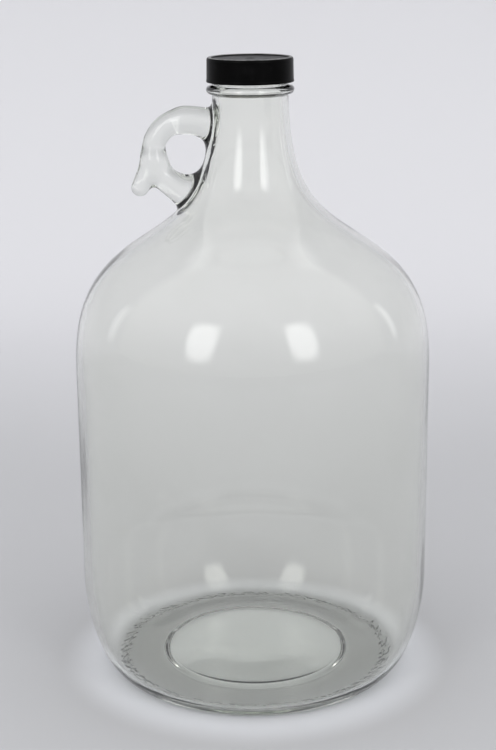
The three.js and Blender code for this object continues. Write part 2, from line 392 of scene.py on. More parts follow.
def bezier(start: tuple, lean: tuple, pull: tuple, end: tuple, count: int) -> np.ndarray:
    """A cubic Bezier bend: (1-t)^3 start + 3(1-t)^2 t lean + 3(1-t) t^2 pull + t^3 end.

    Args:
        start: The first point.
        lean: The control point that sets how the bend leaves the start.
        pull: The control point that sets how it reaches the end.
        end: The last point.
        count: How many points are wanted.

    Returns:
        The points, one to a row.
    """
    t = np.linspace(0.0, 1.0, count)[:, None]
    corners = [np.asarray(corner, float) for corner in (start, lean, pull, end)]
    weights = [(1 - t) ** 3, 3 * (1 - t) ** 2 * t, 3 * (1 - t) * t**2, t**3]
    return sum(weight * corner for weight, corner in zip(weights, corners))


def quarter(start: tuple, corner: tuple, end: tuple, count: int) -> np.ndarray:
    """A quarter round towards a corner: centre + cos(a) (start - centre) + sin(a) (end - centre).

    Args:
        start: The first point.
        corner: The corner that the round softens.
        end: The last point.
        count: How many points are wanted.

    Returns:
        The points, one to a row.
    """
    first, tip, last = (np.asarray(point, float) for point in (start, corner, end))
    centre = first + last - tip
    angle = np.linspace(0.0, math.pi / 2, count)[:, None]
    return centre + np.cos(angle) * (first - centre) + np.sin(angle) * (last - centre)


def line(start: tuple, end: tuple, count: int) -> np.ndarray:
    """Evenly spaced points from start to end."""
    return np.linspace(np.asarray(start, float), np.asarray(end, float), count)


def step(value: np.ndarray, low: float, high: float) -> np.ndarray:
    """Rises smoothly from 0 at low to 1 at high, as 3t^2 - 2t^3."""
    t = np.clip((value - low) / (high - low), 0.0, 1.0)
    return t * t * (3.0 - 2.0 * t)


def outline(*stretches: np.ndarray) -> np.ndarray:
    """Joins stretches of an outline and drops points that repeat the one before.

    Args:
        stretches: The stretches in order, each with a point to a row.

    Returns:
        The whole outline, one point to a row.
    """
    points = np.vstack(stretches)
    moved = np.linalg.norm(np.diff(points, axis=0), axis=1) > TINY
    return points[np.r_[True, moved]]


def spread(points: np.ndarray, columns: int) -> tuple[np.ndarray, np.ndarray, np.ndarray]:
    """Carries an outline round the axis, with a row for each of its points and a column for each angle.

    Args:
        points: The outline's radii and heights, one point to a row.
        columns: How many angles there are.

    Returns:
        The angles as one row, and the radii and heights as full grids.
    """
    angle = (np.arange(columns) * TURN / columns)[None, :]
    radius = np.repeat(points[:, :1], columns, axis=1)
    height = np.repeat(points[:, 1:], columns, axis=1)
    return angle, radius, height


def grid_faces(rows: int, columns: int, rows_close: bool, columns_close: bool) -> np.ndarray:
    """Splits each cell of a grid of points, with corners a, b, c and d, into a, b, c and a, c, d.

    Args:
        rows: How many rows of points there are.
        columns: How many points there are in a row.
        rows_close: Whether the last row meets the first.
        columns_close: Whether the last column meets the first.

    Returns:
        Three point numbers to each triangle.
    """
    across = np.arange(columns if columns_close else columns - 1)
    up = np.arange(rows if rows_close else rows - 1)
    i, j = np.meshgrid(up, across, indexing="ij")
    low, high, right = i * columns, (i + 1) % rows * columns, (j + 1) % columns
    a, b, c, d = low + j, low + right, high + right, high + j
    return np.vstack([np.stack([a, b, c], -1).reshape(-1, 3), np.stack([a, c, d], -1).reshape(-1, 3)])


@dataclass
class Surface:
    """A triangle mesh as arrays: points in millimetres, and three point numbers to each face."""

    points: np.ndarray
    faces: np.ndarray

    @staticmethod
    def together(*parts: "Surface") -> "Surface":
        """Puts surfaces into one without joining their points.

        Args:
            parts: The surfaces in order.

        Returns:
            One surface that holds them all.
        """
        points = np.vstack([part.points for part in parts])
        offsets = np.cumsum([0] + [len(part.points) for part in parts[:-1]])
        return Surface(points, np.vstack([part.faces + offset for part, offset in zip(parts, offsets)]))

    @staticmethod
    def joined(*parts: "Surface") -> "Surface":
        """Puts surfaces together and makes one point of points that coincide.

        Args:
            parts: The surfaces, whose edges share their points.

        Returns:
            The joined surface, without the faces that shrink to an edge.
        """
        loose = Surface.together(*parts)
        keys = np.round(loose.points / WELD_STEP).astype(np.int64)
        _, first, label = np.unique(keys, axis=0, return_index=True, return_inverse=True)
        faces = label.reshape(-1)[loose.faces]
        whole = (faces[:, 0] != faces[:, 1]) & (faces[:, 1] != faces[:, 2]) & (faces[:, 0] != faces[:, 2])
        return Surface(loose.points[first], faces[whole])

    @staticmethod
    def turned(radius: np.ndarray, height: np.ndarray, first: bool, last: bool) -> "Surface":
        """A surface turned about +Z: point (i, j) is radius[i, j] out at the angle 2 pi j / columns.

        Args:
            radius: The distance from the axis, a row for each outline point.
            height: The height, with the same shape.
            first: Closes the first row with a fan to its middle.
            last: Closes the last row in the same way.

        Returns:
            The surface, facing outwards where the outline runs up the outside.
        """
        rows, columns = radius.shape
        angle = np.arange(columns) * TURN / columns
        ring = np.stack([radius * np.cos(angle), radius * np.sin(angle), height], axis=-1)
        points = ring.reshape(-1, 3)
        near = np.arange(columns)
        far = (near + 1) % columns
        faces = [grid_faces(rows, columns, False, True)]
        for wanted, row, order in ((first, 0, (1, 0)), (last, rows - 1, (0, 1))):
            if wanted:
                middle = ring[row].mean(axis=0)
                points = np.vstack([points, middle])
                edge = (near + row * columns, far + row * columns)
                tip = np.full(columns, len(points) - 1)
                faces.append(np.stack([edge[order[0]], edge[order[1]], tip], -1))
        return Surface(points, np.vstack(faces))

    @staticmethod
    def of_object(source: bpy.types.Object) -> "Surface":
        """The surface that an object shows, with its modifiers.

        Args:
            source: The object.

        Returns:
            Its triangles, in millimetres.
        """
        shown = source.evaluated_get(bpy.context.evaluated_depsgraph_get())
        mesh = shown.to_mesh()
        mesh.calc_loop_triangles()
        points = np.empty(len(mesh.vertices) * 3)
        faces = np.empty(len(mesh.loop_triangles) * 3, np.int32)
        mesh.vertices.foreach_get("co", points)
        mesh.loop_triangles.foreach_get("vertices", faces)
        shown.to_mesh_clear()
        return Surface(points.reshape(-1, 3) / MM, faces.reshape(-1, 3))

    def thing(self, name: str) -> bpy.types.Object:
        """Makes a smooth-shaded Blender object of the surface.

        Args:
            name: The object's name.

        Returns:
            The object, whose mesh is in metres.
        """
        mesh = bpy.data.meshes.new(name)
        mesh.vertices.add(len(self.points))
        mesh.vertices.foreach_set("co", (self.points * MM).astype(np.float32).ravel())
        mesh.loops.add(self.faces.size)
        mesh.loops.foreach_set("vertex_index", self.faces.astype(np.int32).ravel())
        mesh.polygons.add(len(self.faces))
        starts = np.arange(0, self.faces.size, 3, dtype=np.int32)
        mesh.polygons.foreach_set("loop_start", starts)
        mesh.polygons.foreach_set("use_smooth", np.ones(len(self.faces), bool))
        mesh.update(calc_edges=True)
        mesh.validate()
        made = bpy.data.objects.new(name, mesh)
        bpy.context.scene.collection.objects.link(made)
        return made


def with_modifier(surfaces: list[Surface], kind: str, settings: dict) -> Surface:
    """The result of one Blender modifier on the first surface.

    Args:
        surfaces: The surface that is worked on, and for a boolean the one that it is joined to.
        kind: The modifier's type.
        settings: The modifier's properties.

    Returns:
        The new surface.
    """
    things = [surface.thing(f"working_{i}") for i, surface in enumerate(surfaces)]
    modifier = things[0].modifiers.new(kind, kind)
    for name, value in settings.items():
        setattr(modifier, name, value)
    if len(things) > 1:
        modifier.object = things[1]
    result = Surface.of_object(things[0])
    for thing in things:
        mesh = thing.data
        bpy.data.objects.remove(thing)
        bpy.data.meshes.remove(mesh)
    return result


Distance = Callable[[np.ndarray], np.ndarray]

# How drawn_onto works, in millimetres: the step that finds a slope, the smallest square of a slope that
# it divides by, and the furthest that a point moves in one round.
NUDGE = 0.02
LEAST_SLOPE = 0.05
LONGEST_MOVE = 0.8


def soft_union(first: np.ndarray, second: np.ndarray, reach: float) -> np.ndarray:
    """The smaller of two distances, rounded where they differ by less than reach.

    With h = 1/2 + (second - first) / (2 reach), held from 0 to 1, it is
    second + h (first - second) - reach h (1 - h).

    Args:
        first: The distance from one form.
        second: The distance from the other.
        reach: How far the rounding reaches.

    Returns:
        The distance from the two together.
    """
    h = np.clip(0.5 + 0.5 * (second - first) / reach, 0.0, 1.0)
    return second + h * (first - second) - reach * h * (1.0 - h)


def drawn_onto(surface: Surface, distance: Distance, rounds: int) -> Surface:
    """Moves each point along the distance's slope until its distance is zero, by Newton's method.

    Args:
        surface: The surface that is drawn.
        distance: The distance from the form that it is drawn onto.
        rounds: How many times every point is moved.

    Returns:
        The moved surface, with the same faces.
    """
    points = surface.points.copy()
    for _ in range(rounds):
        here = distance(points)
        slope = np.empty_like(points)
        for axis in range(3):
            offset = np.zeros(3)
            offset[axis] = NUDGE
            slope[:, axis] = (distance(points + offset) - distance(points - offset)) / (2 * NUDGE)
        steep = np.maximum((slope**2).sum(axis=1), LEAST_SLOPE)
        move = (here / steep)[:, None] * slope
        length = np.linalg.norm(move, axis=1, keepdims=True)
        points -= move * np.minimum(1.0, LONGEST_MOVE / np.maximum(length, 1e-9))
    return Surface(points, surface.faces)


def dress(thing: bpy.types.Object, finish: bpy.types.Material, body: str, node: str) -> None:
    """Gives a piece its finish and its place in the frame.

    Args:
        thing: The piece.
        finish: Its material.
        body: The body that it rides on.
        node: The CAD node that it stands for.
    """
    thing.data.materials.append(finish)
    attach(thing, body)
    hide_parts(node)
    log.info("%s: %d triangles, rides on %s", thing.name, len(thing.data.polygons), body)


# ---- The glass ----------------------------------------------------------------------------------


@dataclass
class Thread:
    """A single rounded helical ridge that rises one pitch in each turn, between two heights.

    on_x is the height at which its middle crosses +X.
    """

    on_x: float
    low: float
    high: float
    ridge: float
    pitch: float = 4.233
    run_out: float = 0.3

    def relief(self, angle: np.ndarray, height: np.ndarray) -> np.ndarray:
        """How far the ridge stands out: ridge * sqrt(1 - (d / ridge)^2), d from the helix along Z.

        The ridge fades in and out as its middle comes within run_out of its two heights.

        Args:
            angle: The angle of each point about +Z from +X.
            height: The height of each point.

        Returns:
            How far each point stands out.
        """
        total = np.zeros(np.broadcast(angle, height).shape)
        for lap in range(-1, 3):
            middle = self.on_x + self.pitch * (angle / TURN + lap)
            away = (height - middle) / self.ridge
            body = np.sqrt(np.clip(1.0 - away**2, 0.0, None))
            starts = step(middle, self.low, self.low + self.run_out)
            ends = step(middle, self.high - self.run_out, self.high)
            total = np.maximum(total, body * starts * (1.0 - ends))
        return total * self.ridge


@dataclass
class FingerRing:
    """The solid glass ring beside the neck, with its roots and its tail, in the X-Z plane.

    Three rods leave its bar at neck_at, bridge_at and tail_at, in degrees from +X towards +Z.
    """

    centre_x: float
    centre_z: float
    hole: float = 9.75
    bar: float = 5.25
    bar_top: float = 5.5
    bridge_end: tuple = (-27.0, 226.5)
    bridge_radii: tuple = (4.0, 6.0)
    tail_end: tuple = (-51.2, 234.8)
    tail_radii: tuple = (5.9, 4.1)
    soften: float = 4.0
    grain: float = 0.75
    neck_at: float = 90.0
    neck_reach: float = 16.0
    neck_swell: float = 0.3
    bridge_at: float = 222.0
    tail_at: float = 195.0

    def _on_ring(self, degrees: float) -> np.ndarray:
        """The middle of the bar.

        Args:
            degrees: The angle from +X towards +Z.

        Returns:
            Its place along X and Z.
        """
        reach = self.hole + self.bar
        angle = math.radians(degrees)
        across, up = reach * math.cos(angle), reach * math.sin(angle)
        return np.array([self.centre_x + across, self.centre_z + up])

    def _loop(self, points: np.ndarray) -> np.ndarray:
        """Distance to the ring, whose bar is thicker towards the top: |(out - hole - bar, y)| - bar.

        Args:
            points: The points, one to a row.

        Returns:
            The distance of each.
        """
        x = points[:, 0] - self.centre_x
        z = points[:, 2] - self.centre_z
        out = np.hypot(x, z)
        upward = np.clip(z / np.maximum(out, TINY), 0.0, 1.0)
        bar = self.bar + (self.bar_top - self.bar) * upward
        return np.hypot(out - self.hole - bar, points[:, 1]) - bar

    @staticmethod
    def _rod(points: np.ndarray, start: tuple, end: tuple, radii: tuple) -> np.ndarray:
        """Distance to a round-ended rod: how far its line is, less the radius at the nearest place.

        Args:
            points: The points, one to a row.
            start: Where the rod's line starts, along X and Z.
            end: Where it ends.
            radii: Its radius at each end, which changes evenly between them.

        Returns:
            The distance of each point.
        """
        first = np.array([start[0], 0.0, start[1]])
        along = np.array([end[0], 0.0, end[1]]) - first
        t = np.clip((points - first) @ along / (along @ along), 0.0, 1.0)
        away = np.linalg.norm(points - first - t[:, None] * along, axis=1)
        return away - (radii[0] + (radii[1] - radii[0]) * t)

    def distance(self, points: np.ndarray) -> np.ndarray:
        """Distance to the whole ring, its pieces blended over the softening length.

        Args:
            points: The points, one to a row.

        Returns:
            The distance of each.
        """
        top = self._on_ring(self.neck_at)
        neck_end = (top[0] + self.neck_reach, top[1] - self.neck_swell)
        rods = [
            self._rod(points, top, neck_end, (self.bar_top, self.bar_top + self.neck_swell)),
            self._rod(points, self._on_ring(self.bridge_at), self.bridge_end, self.bridge_radii),
            self._rod(points, self._on_ring(self.tail_at), self.tail_end, self.tail_radii),
        ]
        whole = self._loop(points)
        for rod in rods:
            whole = soft_union(whole, rod, self.soften)
        return whole

    def surface(self) -> Surface:
        """The ring's closed surface: a coarse ring with three rods, remeshed evenly and drawn smooth.

        The coarse ring's point at a round it and s round its bar is (reach + bar cos s) out at the
        angle a, and bar sin s along Y.

        Returns:
            The surface.
        """
        columns, rows, rounds = 72, 24, 20
        around = np.arange(columns) * TURN / columns
        section = np.arange(rows) * TURN / rows
        reach = self.hole + self.bar
        swell = self.bar * np.cos(section)[:, None]
        ring_points = np.stack(
            [
                self.centre_x + (reach + swell) * np.cos(around),
                np.broadcast_to(self.bar * np.sin(section)[:, None], (rows, columns)),
                self.centre_z + (reach + swell) * np.sin(around),
            ],
            axis=-1,
        ).reshape(-1, 3)
        parts = [Surface(ring_points, grid_faces(rows, columns, True, True)[:, [0, 2, 1]])]
        top = self._on_ring(self.neck_at)
        spans = [
            (top, (top[0] + self.neck_reach, top[1]), self.bar_top),
            (self._on_ring(self.bridge_at), self.bridge_end, self.bridge_radii[0]),
            (self._on_ring(self.tail_at), self.tail_end, self.tail_radii[1]),
        ]
        for start, end, radius in spans:
            parts.append(self._pill(np.asarray(start), np.asarray(end), radius))
        settings = {"mode": "VOXEL", "voxel_size": self.grain * MM}
        even = with_modifier([Surface.together(*parts)], "REMESH", settings)
        return drawn_onto(even, self.distance, rounds)

    @staticmethod
    def _pill(start: np.ndarray, end: np.ndarray, radius: float) -> Surface:
        """A round-ended rod: two quarter circles and a straight side, turned about its line.

        Args:
            start: Where its line starts, along X and Z.
            end: Where it ends.
            radius: The rod's radius.

        Returns:
            The closed surface.
        """
        rows, columns = 7, 24
        length = float(np.linalg.norm(end - start))
        low = np.linspace(-math.pi / 2, 0.0, rows)
        high = np.linspace(0.0, math.pi / 2, rows)
        out = np.r_[radius * np.cos(low), radius * np.cos(high)][1:-1, None] * np.ones(columns)
        up = np.r_[radius * np.sin(low), length + radius * np.sin(high)][1:-1, None] * np.ones(columns)
        pill = Surface.turned(out, up, True, True)
        way = (end - start) / length
        turn = np.array([[way[1], 0.0, way[0]], [0.0, 1.0, 0.0], [-way[0], 0.0, way[1]]])
        place = np.array([start[0], 0.0, start[1]])
        return Surface(pill.points @ turn.T + place, pill.faces)


@dataclass
class GlassJug:
    """The one-piece glass: body, neck finish, thread and finger ring.

    A drop is measured down from the lip. A lean and a pull are how far a bend's two control points lie
    from its start and its end. The inside's wandering fades in over the heights wander_in and fades out
    over the drops wander_out.
    """

    lip: float
    body: float
    wall: float = 3.2
    base: float = 5.0
    push_up: float = 3.4
    disc: float = 44.0
    disc_step: float = 2.6
    bearing: tuple = (63.4, 64.9)
    stipple: float = 0.75
    stipple_band: tuple = (63.0, 69.0)
    stipple_top: float = 1.0
    heel: float = 46.8
    shoulder: float = 144.8
    turn_drop: float = 82.6
    turn_inset: float = 26.9
    turn_slope: float = math.radians(33.8)
    neck: float = 17.3
    bore: float = 14.3
    bead: float = 20.1
    bead_drop: float = 11.1
    bead_half: float = 1.9
    flare_top_drop: float = 8.3
    ring_drop: float = 39.9
    lip_round: float = 1.3
    thread_drop: float = 2.7
    thread_ridge: float = 1.15
    blend: float = 3.2
    columns: int = 268
    heel_lean: float = 12.2
    heel_pull: float = 16.7
    shoulder_lean: float = 21.9
    shoulder_pull: float = 32.5
    flare_lean: float = 30.4
    flare_pull: float = 51.5
    foot: tuple = (66.8, 75.0)
    foot_top: float = 32.0
    floor_dome: float = 2.6
    dome_edges: tuple = (12.0, 56.0)
    floor_step: float = 0.3
    step_edges: tuple = (42.6, 45.4)
    bead_root: float = 0.8
    bead_fillet: float = 0.2
    knurl_level: float = 0.45
    knurl_seed: int = 7
    wander: float = 0.09
    wander_in: tuple = (8.0, 40.0)
    wander_out: tuple = (45.0, 15.0)
    ring_margin: float = 6.0
    blend_reach: float = 1.5
    blend_rounds: int = 12

    def _wall_outline(self) -> np.ndarray:
        """The outside from the bearing ring to the top of the flare: three Bezier bends and a line.

        Returns:
            The outline's radii and heights, one point to a row.
        """
        turn = (self.body - self.turn_inset, self.lip - self.turn_drop)
        slope = (-math.cos(self.turn_slope), math.sin(self.turn_slope))
        top = self.lip - self.flare_top_drop
        heel = bezier(
            (self.bearing[1], 0.0),
            (self.bearing[1] + self.heel_lean, 0.0),
            (self.body, self.heel - self.heel_pull),
            (self.body, self.heel),
            42,
        )
        side = line((self.body, self.heel), (self.body, self.shoulder), 9)
        shoulder = bezier(
            (self.body, self.shoulder),
            (self.body, self.shoulder + self.shoulder_lean),
            (turn[0] - self.shoulder_pull * slope[0], turn[1] - self.shoulder_pull * slope[1]),
            turn,
            26,
        )
        flare = bezier(
            turn,
            (turn[0] + self.flare_lean * slope[0], turn[1] + self.flare_lean * slope[1]),
            (self.neck, top - self.flare_pull),
            (self.neck, top),
            50,
        )
        return outline(heel, side, shoulder, flare)

    def _radius_table(self) -> tuple[np.ndarray, np.ndarray]:
        """Looks up the wall at finely spaced heights.

        Returns:
            The heights, and the outside radius at each.
        """
        fine = self._wall_outline()
        heights = np.linspace(self.heel, self.lip - self.flare_top_drop, 4000)
        return heights, np.interp(heights, fine[:, 1], fine[:, 0])

    def _underside(self) -> tuple[np.ndarray, np.ndarray]:
        """The underside, from the middle to the bearing ring's inner edge.

        The height falls by smooth steps: one at the disc's edge, and the long one to the bearing.

        Returns:
            Its radii, and its height at each.
        """
        radius = np.r_[
            np.linspace(4.0, 41.0, 9), np.linspace(42.0, 46.4, 16), np.linspace(47.2, self.bearing[0], 16)
        ]
        rise = self.push_up - self.disc_step
        height = rise * (1 - step(radius, 46.0, self.bearing[0]))
        height += self.disc_step * (1 - step(radius, self.disc - 1.6, self.disc + 1.6))
        return radius, height

    def _floor(self) -> np.ndarray:
        """The inside from the wall's foot over the thick heel to the middle: a bend, then a low dome.

        Returns:
            The radii and heights, one point to a row.
        """
        inside = self.body - self.wall
        near, far = self.foot
        start, lean = (inside, self.heel), (inside, self.foot_top)
        foot = bezier(start, lean, (far, self.base), (near, self.base), 30)
        radius = np.r_[
            np.linspace(65.4, 46.0, 11), np.linspace(45.2, 42.8, 6), np.linspace(40.0, 3.0, 12)
        ]
        height = self.base + self.floor_dome * (1 - step(radius, *self.dome_edges))
        height = height + self.floor_step * (1 - step(radius, *self.step_edges))
        return outline(foot, np.stack([radius, height], axis=1))

    def _wander(self, angle: np.ndarray, height: np.ndarray) -> np.ndarray:
        """How the inside of the blown wall wanders: a sum of waves round the jug that lean with height.

        Args:
            angle: The angle of each point.
            height: The height of each point.

        Returns:
            How far each point moves outwards.
        """
        lean = height / 60.0
        waves = np.sin(2 * angle + 0.6 + lean) + 0.7 * np.sin(3 * angle - 1.1 - 0.7 * lean)
        waves = waves + 0.35 * np.sin(7 * angle + 2.0 + 1.6 * lean)
        waves = waves + 0.18 * np.sin(13 * angle - 2.2 * lean)
        return -self.wander * waves

    def _outer_rows(self) -> tuple[np.ndarray, np.ndarray, int, int]:
        """The outside from the middle of the base to the top of the lip.

        Returns:
            The radii and heights as grids, and the two rows between which the ring joins.
        """
        under_radius, under_height = self._underside()
        bearing_radius = np.linspace(*self.bearing, 5)[1:-1]
        wall = self._wall_outline()
        bead = self.lip - self.bead_drop
        under, over = bead - self.bead_half, bead + self.bead_half
        neck_low, neck_high = under - self.bead_root, over + self.bead_root
        wall = wall[wall[:, 1] < neck_low - 0.4]
        edge = self.bead - self.bead_half
        root = self.neck + self.bead_fillet
        finish = outline(
            bezier((self.neck, neck_low), (self.neck, neck_low + 0.7), (root, under), (edge, under), 6),
            quarter((edge, under), (self.bead, under), (self.bead, bead), 7),
            quarter((self.bead, bead), (self.bead, over), (edge, over), 7),
            bezier((edge, over), (root, over), (self.neck, over + 0.3), (self.neck, neck_high), 5),
            line((self.neck, neck_high), (self.neck, self.lip - self.lip_round), 20),
            quarter(
                (self.neck, self.lip - self.lip_round),
                (self.neck, self.lip),
                (self.neck - self.lip_round, self.lip),
                6,
            ),
        )
        points = np.vstack(
            [
                np.stack([under_radius, under_height], axis=1),
                np.stack([bearing_radius, np.zeros(len(bearing_radius))], axis=1),
                wall,
                finish,
            ]
        )
        angle, radius, height = spread(points, self.columns)
        dots = np.random.default_rng(self.knurl_seed).random(height.shape)
        inner, outer = self.stipple_band
        knurled = (radius > inner) & (radius < outer) & (height < self.stipple_top)
        raised = dots > self.knurl_level
        height = height + np.where(knurled, self.stipple * dots * raised, 0.0)
        start = self.lip - self.thread_drop - Thread.pitch
        thread = Thread(start, start, start + Thread.pitch, self.thread_ridge)
        threaded = height > over + 0.2
        radius = radius + np.where(threaded, thread.relief(angle, height), 0.0)
        first = int(np.argmax(points[:, 1] > self.lip - self.turn_drop - self.ring_margin))
        last = len(points) - len(finish) - 1
        return radius, height, first, last

    def _inner_rows(self) -> tuple[np.ndarray, np.ndarray]:
        """The inside, from the lip down to the middle of the floor.

        Below the neck it is the outside moved inwards along its normals by the wall's thickness.

        Returns:
            The radii and heights as grids.
        """
        wall = self._wall_outline()
        wall = wall[wall[:, 1] >= self.heel - 0.1]
        keep = np.r_[True, np.diff(wall[:, 1]) > TINY]
        wall = wall[keep][::-1]
        coarse_above = 215.0
        wall = np.vstack([wall[wall[:, 1] > coarse_above][::2], wall[wall[:, 1] <= coarse_above]])
        along = np.gradient(wall, axis=0)
        along /= np.linalg.norm(along, axis=1, keepdims=True)
        into = np.stack([along[:, 1], -along[:, 0]], axis=1)
        thin = self.neck - self.bore
        share = step(wall[:, 1], self.lip - self.turn_drop, self.lip - self.flare_top_drop)
        thickness = self.wall + (thin - self.wall) * share
        inside = wall + into * thickness[:, None]
        floor = self._floor()
        lip = outline(
            quarter(
                (self.bore + self.lip_round, self.lip),
                (self.bore, self.lip),
                (self.bore, self.lip - self.lip_round),
                6,
            ),
            line((self.bore, self.lip - self.lip_round), (self.bore, self.lip - self.flare_top_drop), 5),
        )
        points = outline(lip, inside[inside[:, 1] < self.lip - self.flare_top_drop - 0.5], floor[1:])
        angle, radius, height = spread(points, self.columns)
        fade_from, fade_to = (self.lip - drop for drop in self.wander_out)
        fade = step(height, *self.wander_in) * (1 - step(height, fade_from, fade_to))
        return radius + self._wander(angle, height) * fade, height

    def _distance(self) -> Distance:
        """The distance to the bare jug: how far out a point is, times the cosine of the wall's lean.

        Returns:
            A function of points that gives the distance of each.
        """
        heights, radii = self._radius_table()
        leaning = 1.0 / np.hypot(1.0, np.gradient(radii, heights))

        def measure(points: np.ndarray) -> np.ndarray:
            """Measures from the wall.

            Args:
                points: The points, one to a row.

            Returns:
                The distance of each, positive outside.
            """
            out = np.hypot(points[:, 0], points[:, 1])
            level = points[:, 2]
            return (out - np.interp(level, heights, radii)) * np.interp(level, heights, leaning)

        return measure

    def surface(self) -> Surface:
        """The whole glass: the outside joined to the ring, blended, and welded to the inside.

        Returns:
            The closed surface.
        """
        radius, height, first, last = self._outer_rows()
        heights, radii = self._radius_table()
        ring_height = self.lip - self.ring_drop
        beside = float(np.interp(ring_height, heights, radii))
        ring = FingerRing(-(beside + FingerRing.hole), ring_height)
        below = Surface.turned(radius[: first + 1], height[: first + 1], True, False)
        above = Surface.turned(radius[last:], height[last:], False, False)
        neck = Surface.turned(radius[first : last + 1], height[first : last + 1], True, True)
        settings = {"operation": "UNION", "solver": "EXACT"}
        both = with_modifier([neck, ring.surface()], "BOOLEAN", settings)
        bare = self._distance()
        levels = (float(height[first, 0]), float(height[last, 0]))
        both = self._opened(both, levels)

        def blended(points: np.ndarray) -> np.ndarray:
            """Distance to the jug and its ring together."""
            return soft_union(bare(points), ring.distance(points), self.blend)

        away = ring.distance(both.points) > self.blend * self.blend_reach
        moved = drawn_onto(both, blended, self.blend_rounds)
        moved.points[away] = both.points[away]
        inner_radius, inner_height = self._inner_rows()
        lip_radius = np.vstack([radius[-1:], inner_radius[:1]])
        lip_height = np.vstack([height[-1:], inner_height[:1]])
        lip = Surface.turned(lip_radius, lip_height, False, False)
        inside = Surface.turned(inner_radius, inner_height, False, True)
        return Surface.joined(below, moved, above, lip, inside)

    @staticmethod
    def _opened(surface: Surface, levels: tuple[float, float]) -> Surface:
        """Takes away the flat faces that closed the neck.

        Args:
            surface: The closed surface.
            levels: The heights of the faces that go.

        Returns:
            The surface, open at both levels.
        """
        height = surface.points[:, 2][surface.faces]
        flat = np.zeros(len(surface.faces), bool)
        for level in levels:
            flat |= (np.abs(height - level) < 5e-3).all(axis=1)
        return Surface(surface.points, surface.faces[~flat])

    def build(self, finish: ClearGlass) -> bpy.types.Object:
        """Makes and dresses the glass.

        Args:
            finish: The glass's finish.

        Returns:
            The piece.
        """
        thing = self.surface().thing("jug_glass")
        dress(thing, finish.material(), "jug", "glass_jug")
        return thing


# ---- The closure --------------------------------------------------------------------------------


@dataclass
class ScrewCap:
    """The screw cap, closed down on the jug. Heights are above the jug's base."""

    low: float
    high: float
    skirt: float
    lip: float
    draft: float = 0.25
    bore: float = 18.8
    ceiling: float = 1.5
    panel: float = 1.2
    rim_width: float = 2.4
    thread_inset: float = 1.6
    thread_drop: float = 1.4
    thread_ridge: float = 0.95
    corner: float = 0.6
    mouth: float = 0.4
    edge: float = 0.3
    groove_rise: float = 1.1
    groove_round: float = 0.35
    groove_depth: float = 0.12
    rim_round: float = 0.9
    rim_depth: float = 1.5
    columns: int = 256

    def surface(self) -> Surface:
        """The shell: ceiling, threaded bore, open edge, drafted skirt, rim and sunk panel.

        It is an outline of lines, quarter rounds and Bezier bends turned about the axis, and the
        thread's relief is taken from the bore's radius.

        Returns:
            The closed surface.
        """
        under = self.lip + self.ceiling
        top = under + self.panel
        upper = self.skirt - self.draft
        rim = upper - self.rim_width
        groove = self.low + self.groove_rise
        drafted = self.skirt - 0.01
        corner, mouth = under - self.corner, self.low + self.mouth
        inside = outline(
            line((1.0, under), (self.bore - self.corner, under), 10),
            quarter((self.bore - self.corner, under), (self.bore, under), (self.bore, corner), 5),
            line((self.bore, corner), (self.bore, mouth), 40),
            quarter((self.bore, mouth), (self.bore, self.low), (self.bore + self.mouth, self.low), 4),
        )
        edge = self.low + self.edge
        groove_low, groove_in = groove - self.groove_round, self.skirt - self.groove_depth
        crown = upper - self.rim_round
        outside = outline(
            quarter((self.skirt - self.edge, self.low), (self.skirt, self.low), (self.skirt, edge), 5),
            line((self.skirt, edge), (drafted, groove_low), 3),
            quarter((drafted, groove_low), (drafted, groove), (groove_in, groove), 4),
            line((self.skirt - 0.13, groove + 0.2), (upper - 0.02, self.high - 1.7), 12),
            quarter((upper, self.high - self.rim_depth), (upper, self.high), (crown, self.high), 12),
            # The rim's crown and inner slope, its root, the sunk panel, and the low ring in its middle.
            bezier(
                (crown, self.high),
                (rim + 0.9, self.high),
                (rim + 0.5, self.high - 0.05),
                (rim + 0.1, top + 0.12),
                9,
            ),
            bezier((rim + 0.1, top + 0.12), (rim, top), (rim - 0.1, top), (rim - 0.5, top), 5),
            line((rim - 0.5, top), (2.4, top), 8),
            bezier((2.3, top), (2.1, top + 0.12), (1.9, top + 0.12), (1.7, top + 0.02), 6),
            line((1.5, top), (0.5, top - 0.04), 3),
        )
        points = outline(inside, outside)
        angle, radius, height = spread(points, self.columns)
        start = self.lip - GlassJug.thread_drop - Thread.pitch / 2
        low, high = self.low + self.thread_inset, self.lip - self.thread_drop
        thread = Thread(start, low, high, self.thread_ridge)
        bore_rows = np.arange(len(points))[:, None] < len(inside)
        threaded = bore_rows & (np.abs(radius - self.bore) < TINY)
        radius = radius - np.where(threaded, thread.relief(angle, height), 0.0)
        return Surface.turned(radius, height, True, True)

    def build(self, finish: MouldedPlastic) -> bpy.types.Object:
        """Makes and dresses the cap.

        Args:
            finish: The plastic's finish.

        Returns:
            The piece.
        """
        thing = self.surface().thing("cap_shell")
        dress(thing, finish.material(), "cap", "screw_cap")
        return thing


